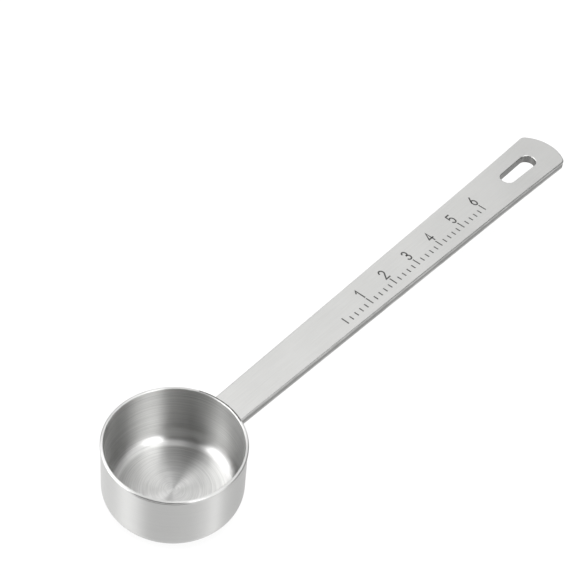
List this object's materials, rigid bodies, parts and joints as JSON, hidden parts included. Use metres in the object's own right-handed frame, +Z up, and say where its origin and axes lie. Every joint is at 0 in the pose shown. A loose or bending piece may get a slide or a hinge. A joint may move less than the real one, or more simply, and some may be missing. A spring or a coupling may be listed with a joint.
{
  "type": "measuring spoon",
  "caption": "Brushed steel tablespoon measure: a round flat-bottomed cup welded to a long flat tapering handle with a hanging slot in its end.",
  "frame": {"origin": "centre of the cup's flat base", "axes": "+Z up along the cup's axis, +X along the handle from the cup to its end, +Y across the handle"},
  "size_m": [0.1743, 0.0346, 0.0185],
  "materials": {
    "cup_steel": "turned and brushed round the cup's axis, bright",
    "handle_steel": "fine satin along the handle",
    "weld_steel": "dressed weld, satin"
  },
  "bodies": {
    "root": {"cup": "cup_steel", "handle": "handle_steel", "weld_bead": "weld_steel"}
  },
  "joints": []
}
